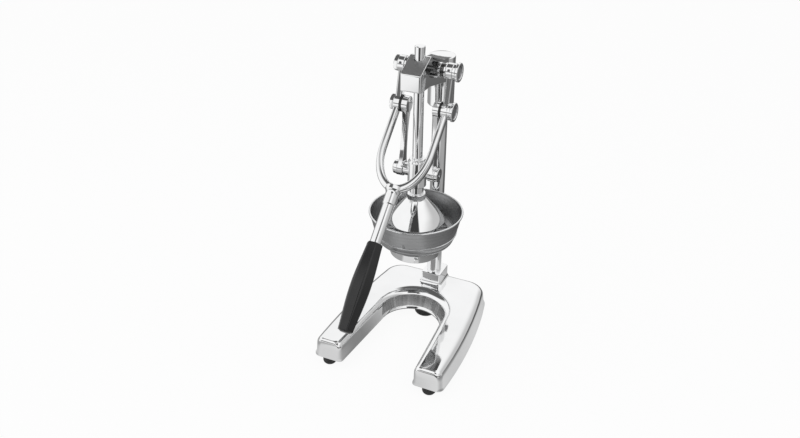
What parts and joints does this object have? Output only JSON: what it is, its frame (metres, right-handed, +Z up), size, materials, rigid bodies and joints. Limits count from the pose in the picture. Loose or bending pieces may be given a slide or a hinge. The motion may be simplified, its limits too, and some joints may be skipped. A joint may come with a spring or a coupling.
{
  "type": "lever citrus juicer",
  "caption": "Lever citrus juicer: horseshoe base, round post, fork lever with links, guided press rod with bell, and a bowl with strainer and cone.",
  "frame": {"origin": "on the table, below the middle of the whole juicer's box, with the handle down as pictured", "axes": "+Z up, +Y towards the back where the post stands, +X to the right seen from the front"},
  "size_m": [0.19, 0.311, 0.419],
  "materials": {
    "polished_casting": "polished",
    "chrome_plate": "mirror",
    "bowl_steel": "fine satin, turned round the bowl",
    "screw_steel": "dark zinc",
    "bush_bronze": "machined",
    "foot_rubber": "matte",
    "grip_plastic": "satin moulded",
    "washer_plastic": "satin moulded"
  },
  "bodies": {
    "stand": {"base": "polished_casting", "front_feet": "foot_rubber", "back_foot": "foot_rubber", "foot_screws": "screw_steel", "post": "chrome_plate", "post_bolt": "screw_steel", "post_washer": "screw_steel", "bowl_holder": "chrome_plate", "holder_clamp_screw": "screw_steel", "bowl_lock_screw": "chrome_plate", "head": "polished_casting", "head_set_screws": "screw_steel", "guide_bush": "bush_bronze", "pivot_bushes": "washer_plastic"},
    "lever": {"fork_lever": "polished_casting", "pivot_shaft": "chrome_plate", "pivot_collar": "chrome_plate", "pivot_cap": "chrome_plate", "pivot_nut": "chrome_plate", "fork_set_screws": "screw_steel", "link_pins": "chrome_plate", "pin_caps": "chrome_plate", "pin_nut": "chrome_plate", "link_washers": "washer_plastic", "handle_tube": "chrome_plate", "grip": "grip_plastic", "grip_end_cap": "grip_plastic"},
    "links": {"left_link": "chrome_plate", "right_link": "chrome_plate", "lower_link_bolts": "chrome_plate"},
    "press": {"press_rod": "chrome_plate", "crosshead": "chrome_plate", "crosshead_set_screw": "screw_steel", "press_bell": "polished_casting", "bell_nut": "screw_steel"},
    "bowl": {"bowl": "bowl_steel", "bowl_rivet": "bowl_steel"},
    "strainer": {"strainer": "bowl_steel", "cone": "polished_casting"}
  },
  "joints": [
    {"name": "handle_pivot", "type": "hinge", "parent": "stand", "child": "lever", "pos_m": [0, 0.07949, 0.38405], "axis": [-1, 0, 0], "range_deg": [0, 100]},
    {"name": "link_pivot", "type": "hinge", "parent": "lever", "child": "links", "pos_m": [0, 0.06747, 0.33654], "axis": [-1, 0, 0], "range_deg": [-122.9, 0.5]},
    {"name": "press_slide", "type": "slide", "parent": "stand", "child": "press", "axis": [0, 0, 1], "range_m": [0, 0.0696]},
    {"name": "bowl_lift", "type": "slide", "parent": "stand", "child": "bowl", "axis": [0, 0, 1], "range_m": [0, 0.004]},
    {"name": "strainer_lift", "type": "slide", "parent": "bowl", "child": "strainer", "axis": [0, 0, 1], "range_m": [0, 0.0035]}
  ],
  "couplings": [
    {"joint": "link_pivot", "follows": "handle_pivot", "ratio": -1.2235},
    {"joint": "press_slide", "follows": "handle_pivot", "m_per_rad": 0.039712}
  ]
}
